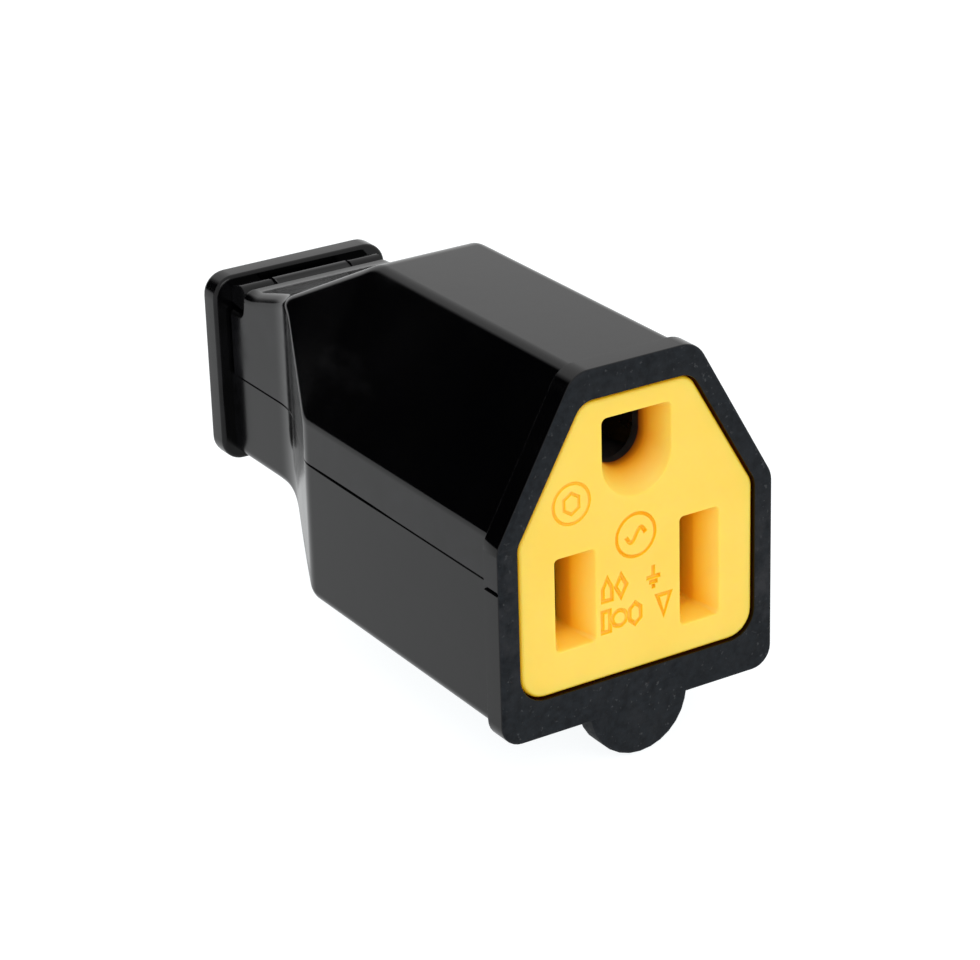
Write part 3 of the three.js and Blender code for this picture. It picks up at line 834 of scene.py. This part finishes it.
def blade_slot(side, bottom, top):
    """The mouth narrows on both sides, and from its ends."""
    centre = side * SLOT_X
    stations = []
    for y, share in flare_stations():
        half = 0.9 + 1.1 * share
        inset = 0.65 * (1 - share)
        corner = 0.3 + 0.12 * share
        outline = rounded_rect(centre - half, centre + half, bottom + inset, top - inset, corner, 3)
        stations.append((y, outline))
    return solid_loft(stations)


def ground_socket():
    """The U-shaped mouth, which narrows to the round pin."""
    stations = []
    for y, share in flare_stations():
        outline = socket_outline(2.6 + 0.85 * share, 15.0 + 0.45 * share, 12.2 - 0.85 * share)
        stations.append((y, outline))
    return solid_loft(stations)


def stroke(points, closed=False, width=0.21, depth=0.3):
    """A groove cutter that runs along points on the face, with a round bottom."""
    bm = bmesh.new()
    count = len(points)
    rings = []
    for i, (x, z) in enumerate(points):
        before = points[i - 1] if (closed or i) else points[0]
        after = points[(i + 1) % count] if (closed or i < count - 1) else points[-1]
        along_in = Vector((x - before[0], z - before[1]))
        along_out = Vector((after[0] - x, after[1] - z))
        if along_in.length < 1e-6:
            along_in = along_out
        if along_out.length < 1e-6:
            along_out = along_in
        along_in.normalize()
        along_out.normalize()
        tangent = (along_in + along_out).normalized()
        normal = Vector((-tangent.y, tangent.x)) / max(tangent.dot(along_in), 0.5)
        ring = []
        for j in range(8):
            turn = 2 * math.pi * j / 8
            reach = width * math.cos(turn)
            ring.append((x + normal.x * reach, depth * math.sin(turn), z + normal.y * reach))
        rings.append(ring)
    grid = join_rings(bm, rings, True, closed)
    if not closed:
        bm.faces.new(grid[0])
        bm.faces.new(grid[-1])
    return bm


def placed(points, x, z, width, height):
    """Moves a drawing in the square from -1 to 1 to its place on the face."""
    return [(x + px * width / 2, z + pz * height / 2) for px, pz in points]


WAVE = [(x, math.sin(math.pi * x)) for x in spread(-1, 1, 16)]
HOUSE = [(-0.8, -1), (0.8, -1), (0.8, 0.1), (0, 1), (-0.8, 0.1)]
DIAMOND = [(0, -1), (1, 0), (0, 1), (-1, 0)]
UPRIGHT = [(-1, -1), (1, -1), (1, 1), (-1, 1)]
TRIANGLE = [(0, -1), (1, 1), (-1, 1)]
HEXAGON = [(math.sin(math.pi * k / 3), math.cos(math.pi * k / 3)) for k in range(6)]
EARTH = (
    [(0, 1), (0, -0.1)],
    [(-1, -0.1), (1, -0.1)],
    [(-0.62, -0.56), (0.62, -0.56)],
    [(-0.28, -1), (0.28, -1)],
)


def circle(x, z, radius, steps=40):
    return arc(x, z, radius, 0, 2 * math.pi * (steps - 1) / steps, steps - 1)


def face_marks():
    """Two rings and two rows of plain symbols, in place of certification marks and ratings."""
    middle_x, middle_z = -0.2, 4.2
    left_x, left_z = -6.6, 8.7
    marks = [
        stroke(circle(middle_x, middle_z, 1.95), True, 0.17),
        stroke(placed(WAVE, middle_x, middle_z, 2.0, 1.2)),
        stroke(circle(left_x, left_z, 1.8), True, 0.16, 0.2),
        stroke(placed(HEXAGON, left_x, left_z, 1.7, 1.9), True, 0.16, 0.2),
        stroke(placed(HOUSE, -3.15, -0.1, 1.15, 2.0), True),
        stroke(placed(DIAMOND, -1.75, -0.1, 1.1, 2.0), True),
        stroke(placed(UPRIGHT, -3.3, -3.05, 0.75, 1.9), True),
        stroke(circle(-1.95, -3.05, 0.72, 20), True),
        stroke(placed(HEXAGON, -0.35, -3.05, 1.3, 1.95), True),
        stroke(placed(TRIANGLE, 2.6, -3.0, 1.35, 1.9), True),
    ]
    marks += [stroke(placed(line, 1.55, -0.05, 1.45, 2.0)) for line in EARTH]
    return marks


def rib_groove():
    """The U-shaped room round the block's sides and bottom for the lower half's rib."""
    low = grow(FACE, -1.9)
    top, wide, deep = 2, 15, -12
    return [(-wide, top), (-wide, deep), (wide, deep), (wide, top), (low.half, top),
            (low.half, low.bottom), (-low.half, low.bottom), (-low.half, top)]


GROUND_POCKET_HALF = 3.7
GROUND_POCKET_Z = (9.4, 15.2)


def build_carrier():
    """Yellow moulding: face plate in front, block with the contact pockets behind."""
    rear_edge = 0.3
    block = grow(FACE, -0.9)._replace(r_top=0.5, r_bottom=0.5)
    stations = [(y, house_outline(grow(FACE, -inset))) for y, inset in round_over(0, 0.4, 1, 5)]
    stations += [(FACE_REAR - 0.15, house_outline(FACE)), (FACE_REAR, house_outline(grow(FACE, -0.15)))]
    stations += [(FACE_REAR, house_outline(block)), (BLOCK_REAR - rear_edge, house_outline(block))]
    stations += [(BLOCK_REAR, house_outline(grow(block, -rear_edge)))]
    cutters = [blade_slot(-1, -4.5, 4.0), blade_slot(1, -5.5, 4.6), ground_socket()]
    past_rear = BLOCK_REAR + 1.5
    for side in (-1, 1):
        pocket = rounded_rect(side * SLOT_X - 2.25, side * SLOT_X + 2.25, -4.4, 4, 0.3, 3)
        cutters.append(solid_prism(pocket, "y", POCKET_FRONT, past_rear))
    pocket = rounded_rect(-GROUND_POCKET_HALF, GROUND_POCKET_HALF, *GROUND_POCKET_Z, 0.3, 3)
    cutters.append(solid_prism(pocket, "y", POCKET_FRONT, past_rear))
    for z in RETAINER_SCREWS_Z:
        cutters.append(solid_prism(circle(0, z, 1.2, 24), "y", RIB_REAR + GAP, past_rear))
    cutters.append(solid_prism(rib_groove(), "y", RIB_FRONT - GAP, RIB_REAR + GAP))
    bm = carved(solid_loft(stations), cutters + face_marks())
    piece = finish_mesh("yellow_carrier", bm, "housing", YELLOW, ["contact_carrier"], sharp=32)
    paint_socket_shade(piece)


def paint_socket_shade(piece):
    """Paints shade down the ground socket: it turns amber, then dark brown with depth, and behind the face
    plate its faces get black nylon as painted shade.
    """
    # A depth ramp for the painted shade down the ground socket.
    depth = piece.data.attributes.new("socket_painted_shade", "FLOAT", "POINT")
    mouth_half, mouth_bottom, mouth_top = 3.6, 7.7, 15.6
    for vertex, value in zip(piece.data.vertices, depth.data):
        x, y, z = vertex.co / MM
        if abs(x) < mouth_half and mouth_bottom < z < mouth_top and 0.02 < y < POCKET_FRONT + 0.3:
            value.value = min(1.0, y / SOCKET_SHADE_Y)
    # Black nylon on the pocket's faces behind the face plate is painted shade.
    piece.data.materials.append(NYLON)
    slack = 0.05
    bottom, top = GROUND_POCKET_Z
    for face in piece.data.polygons:
        x, y, z = face.center / MM
        across = abs(x) < GROUND_POCKET_HALF + slack and bottom - slack < z < top + slack
        if across and SOCKET_SHADE_Y < y < BLOCK_REAR - slack:
            face.material_index = 1


# -------------------- screws, nuts, plates and pin

def lathe(bm, profile, steps=32):
    """Turns a (radius, z) profile that starts and ends on the axis."""
    turns = [2 * math.pi * i / steps for i in range(steps)]
    rings = [[(radius * math.cos(t), radius * math.sin(t), z) for t in turns] for radius, z in profile[1:-1]]
    grid = join_rings(bm, rings, True, False)
    for ring, (_, z) in ((grid[0], profile[0]), (grid[-1], profile[-1])):
        tip = bm.verts.new((0, 0, z))
        for i in range(steps):
            bm.faces.new((ring[i], ring[(i + 1) % steps], tip))


THREAD_ROOT = 0.84


def thread(bm, radius, z_from, z_to, pitch=0.8, steps=24):
    """A helical ridge from z_from down to z_to that fades at both ends."""
    root = radius * THREAD_ROOT
    rows = int((z_from - z_to - pitch) / pitch * steps)
    previous = None
    for j in range(rows + 1):
        angle = 2 * math.pi * j / steps
        z = z_from - pitch / 2 - pitch * j / steps
        fade = min(1, j / steps, (rows - j) / steps)
        crest = root + (radius - root) * fade
        row = []
        for r, dz in ((root - 0.02, pitch * 0.46), (crest, pitch * 0.08), (crest, -pitch * 0.08),
                      (root - 0.02, -pitch * 0.46)):
            row.append(bm.verts.new((r * math.cos(angle), -r * math.sin(angle), z + dz)))
        if previous:
            for k in range(3):
                bm.faces.new((previous[k], previous[k + 1], row[k + 1], row[k]))
        previous = row


def screw(head_radius, head_height, shank_radius, shank_length):
    """Slotted screw, head up, with the underside of its head at the origin."""
    head = [
        (0, -0.2), (head_radius - 0.12, 0), (head_radius, 0.12), (head_radius, head_height - 0.42),
        (head_radius - 0.12, head_height - 0.18), (head_radius - 0.4, head_height - 0.03),
        (head_radius * 0.5, head_height), (0, head_height),
    ]
    bm = bmesh.new()
    lathe(bm, head, 40)
    half = head_radius * 0.15
    slot_floor, slot_top = head_height * 0.45, 5
    slot_end = head_radius + 1
    slot = [(-half, slot_floor), (half, slot_floor), (half, slot_top), (-half, slot_top)]
    bm = carved(bm, [solid_prism(slot, "x", -slot_end, slot_end)])
    root = shank_radius * THREAD_ROOT
    neck_radius, neck_length, point = shank_radius - 0.05, 0.9, 0.35
    shank = [
        (0, -shank_length), (root - point, -shank_length), (root, point - shank_length),
        (root, -neck_length - 0.1), (neck_radius, 0.1 - neck_length), (neck_radius, 0.05), (0, 0.06),
    ]
    lathe(bm, shank)
    thread(bm, shank_radius, 0.3 - neck_length, 0.25 - shank_length)
    return bm


def hexagon_radius(turn, flat):
    """Distance to a hexagon's side, for one with a corner on +X and its sides at distance flat."""
    return flat / math.cos((turn % (math.pi / 3)) - math.pi / 6)


def hex_nut():
    """Chamfered hexagon nut with its bore."""
    bm = bmesh.new()
    steps = 48
    half, corner, chamfered, bore = 0.7, 1.8, 1.56, 1.22
    flat = corner * math.cos(math.pi / 6)
    turns = [2 * math.pi * i / steps for i in range(steps)]
    outer = [(turn, hexagon_radius(turn, flat)) for turn in turns]
    rings = []
    for z, limit in ((-half, chamfered), (0.14 - half, corner), (half - 0.14, corner), (half, chamfered)):
        rings.append([(min(r, limit) * math.cos(t), min(r, limit) * math.sin(t), z) for t, r in outer])
    for z, radius in ((half, bore + 0.1), (half - 0.12, bore), (0.12 - half, bore), (-half, bore + 0.1)):
        rings.append([(radius * math.cos(t), radius * math.sin(t), z) for t in turns])
    join_rings(bm, rings, closed_columns=True)
    return bm


def pressure_plate():
    """Square clamping plate with rounded corners. A step runs round it on the side that bites the wire."""
    half, thick, hole, corner = 3.3, 0.9, 1.75, 0.8
    steps = 6
    count = 4 * (steps + 1)
    rings = []
    sides = ((0.22, 0), (0.22, 0.15), (0, 0.3), (0, thick - 0.2), (0.06, thick - 0.06), (0.2, thick))
    for inset, z in sides:
        reach = half - inset
        outline = rounded_rect(-reach, reach, -reach, reach, corner - inset, steps)
        rings.append([(x, y, z) for x, y in outline])
    for radius, z in ((hole + 0.12, thick), (hole, thick - 0.12), (hole, 0.12), (hole + 0.12, 0)):
        rings.append([(x, y, z) for x, y in round_hole(count, radius)])
    bm = bmesh.new()
    join_rings(bm, rings, closed_columns=True)
    return bm


def hinge_pin():
    """Pin with chamfered ends and a shallow dimple in each. It is thinner inside the middle knuckle."""
    half, radius, thinned = 7.5, 0.7, 0.64
    half_profile = [(0, 0.18 - half), (0.3, 0.05 - half), (radius - 0.18, -half), (radius, 0.25 - half)]
    half_profile += [(radius, -4.15), (thinned, -4.05)]
    bm = bmesh.new()
    lathe(bm, half_profile + [(r, -z) for r, z in reversed(half_profile)], 28)
    return bm


def place(bm, position, axis="z", side=1):
    """Moves a piece whose own axis is Z to its place, pointing along +axis or -axis."""
    if axis == "x":
        turn = Matrix.Rotation(side * math.pi / 2, 4, "Y")
    elif axis == "y":
        turn = Matrix.Rotation(-math.pi / 2, 4, "X")
    else:
        turn = Matrix.Identity(4)
    bmesh.ops.transform(bm, matrix=Matrix.Translation(position) @ turn, verts=bm.verts)
    return bm


def build_terminals():
    """The three terminal screws, each with the plate that clamps the wire under its head."""
    side_y, side_z, ground_y = TERMINAL_Y, 5, TERMINAL_Y + 0.3
    terminals = (
        ("hot", "x", -1, (-7.2, side_y, side_z), (-6, side_y, side_z), 5.0, TURNED_BRASS, "screw_brass"),
        ("neutral", "x", 1, (7.2, side_y, side_z), (6, side_y, side_z), 5.0, NICKEL, "screw_nickel"),
        ("ground", "z", 1, (0, ground_y, 12.7), (0, ground_y, 11.5), 3.9, GREEN_STEEL, "screw_green"),
    )
    for pole, axis, side, screw_at, plate_at, length, kind, slot in terminals:
        bm = place(screw(2.8, 1.3, 1.45, length), screw_at, axis, side)
        name, replaced = f"{pole}_slotted_screw", f"{pole}_terminal_screw"
        finish_mesh(name, bm, f"{pole}_screw", kind, [replaced])
        bm = place(pressure_plate(), plate_at, axis, side)
        name, replaced = f"{pole}_clamping_plate", f"{pole}_pressure_plate"
        finish_mesh(name, bm, f"{pole}_plate", ZINC, [replaced])


def build_fasteners():
    """The retainer's two screws, the cord clamp's bolts and nuts, and the hinge pin."""
    for i, z in enumerate(RETAINER_SCREWS_Z, 1):
        bm = place(screw(1.7, 1.1, 0.9, 8.5), (0, WIRING_FRONT + GAP, z), "y")
        finish_mesh(f"retainer_fixing_{i}", bm, "housing", ZINC, [f"retainer_screw_{i}"])
    for label, x in (("left", -5.4), ("right", 5.4)):
        bm = place(screw(1.5, 1.3, 1.1, 14.2), (x, CLAMP_Y, 8.9))
        name, replaced = f"clamp_bolt_{label}", f"cord_clamp_screw_{label}"
        finish_mesh(name, bm, f"clamp_screw_{label}", ZINC, [replaced])
        bm = place(hex_nut(), (x, CLAMP_Y, -4.1))
        finish_mesh(f"clamp_nut_{label}", bm, "housing", ZINC, [f"cord_clamp_nut_{label}"])
    bm = place(hinge_pin(), (0, HINGE_Y, HINGE_Z), "x")
    finish_mesh("hinge_axle", bm, "housing", NYLON, ["hinge_pin"])


def refine_cad_nodes():
    """The other CAD pieces keep their shape and get broken edges and their own materials."""
    kinds = {
        "hot_contact": (SPRING_BRASS, 0.12),
        "neutral_contact": (SPRING_BRASS, 0.12),
        "ground_contact": (SPRING_BRASS, 0.12),
        "contact_retainer": (NYLON, 0.2),
        "cord_clamp_cradle": (NYLON, 0.25),
        "cord_clamp_saddle": (NYLON, 0.25),
    }
    for name, (material, width) in kinds.items():
        node = bpy.data.objects[name]
        for slot in node.material_slots:
            slot.material = material
        bevel = node.modifiers.new("broken edges", "BEVEL")
        bevel.width = width * MM
        bevel.segments = 2
        bevel.limit_method = "ANGLE"
        bevel.angle_limit = math.radians(38)
        node.modifiers.new("weighted normals", "WEIGHTED_NORMAL")


build_lower_housing()
build_upper_housing()
build_carrier()
build_terminals()
build_fasteners()
refine_cad_nodes()

# -------------------- camera, floor and light

AZIMUTH = math.radians(-31.65)
ELEVATION = math.radians(23.53)
ROLL = math.radians(-1.69)
TARGET = Vector((-14.4, 0.0, 12.85)) * MM
DISTANCE = 265.59 * MM
FOCAL_LENGTH = 120.87
SENSOR_WIDTH = 36


def build_camera():
    """Looks at the target from the azimuth and elevation, a little rolled."""
    camera = bpy.data.objects.new("camera", bpy.data.cameras.new("camera"))
    back = Vector((math.sin(AZIMUTH) * math.cos(ELEVATION), -math.cos(AZIMUTH) * math.cos(ELEVATION),
                   math.sin(ELEVATION)))
    turn = back.to_track_quat("Z", "Y").to_matrix().to_4x4() @ Matrix.Rotation(ROLL, 4, "Z")
    camera.matrix_world = Matrix.Translation(TARGET + back * DISTANCE) @ turn
    camera.data.sensor_width = SENSOR_WIDTH
    camera.data.lens = FOCAL_LENGTH
    camera.data.clip_start = 0.01
    bpy.context.scene.collection.objects.link(camera)
    bpy.context.scene.camera = camera


FLOOR_GLOW = 0.93
MIRRORED_GLOW = 0.6
FLAG_TOWARDS = Vector((-0.59, 0.78, 0.2))


def build_floor():
    """A pale floor that glows evenly, so that the shadow stays faint. Mirrored, it is dimmer."""
    bm = bmesh.new()
    bmesh.ops.create_grid(bm, x_segments=1, y_segments=1, size=3.0)
    mesh = bpy.data.meshes.new("floor")
    bm.to_mesh(mesh)
    bm.free()
    floor = bpy.data.objects.new("floor", mesh)
    floor.location.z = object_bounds()[0][2] - 0.0002
    bpy.context.scene.collection.objects.link(floor)
    material, shader = new_material("lit_floor", (0.2, 0.2, 0.2), 0.8)
    shader.inputs["Emission Color"].default_value = (0.97, 0.99, 1.0, 1)
    tree = material.node_tree
    path = tree.nodes.new("ShaderNodeLightPath")
    glow = ramp_node(material, path.outputs["Is Glossy Ray"], 0, 1, FLOOR_GLOW, MIRRORED_GLOW)
    tree.links.new(glow, shader.inputs["Emission Strength"])
    mesh.materials.append(material)


def build_world():
    """A white studio with one dark flag, low behind the left, which only reflections see."""
    world = bpy.data.worlds.new("studio")
    bpy.context.scene.world = world
    world.use_nodes = True
    tree = world.node_tree
    coords = tree.nodes.new("ShaderNodeTexCoord")
    path = tree.nodes.new("ShaderNodeLightPath")
    aim = tree.nodes.new("ShaderNodeVectorMath")
    aim.operation = "DOT_PRODUCT"
    aim.inputs[1].default_value = FLAG_TOWARDS.normalized()
    tree.links.new(coords.outputs["Generated"], aim.inputs[0])
    mirrored = ramp_node(world, aim.outputs["Value"], 0.86, 0.95, 0.9, 0.0)
    sky = blend_color(world, path.outputs["Is Glossy Ray"], (1, 1, 1), mirrored)
    tree.links.new(sky, tree.nodes["Background"].inputs["Color"])


def build_key_light():
    """One soft key light in front, turned to the origin."""
    key = bpy.data.objects.new("key", bpy.data.lights.new("key", "AREA"))
    key.data.shape = "RECTANGLE"
    key.data.size = 0.5
    key.data.size_y = 0.4
    key.data.energy = 1.2
    key.location = (-0.1, -0.6, 0.5)
    key.rotation_euler = key.location.to_track_quat("Z", "Y").to_euler()
    bpy.context.scene.collection.objects.link(key)


build_camera()
build_floor()
build_world()
build_key_light()
bpy.context.scene.view_settings.view_transform = "Standard"
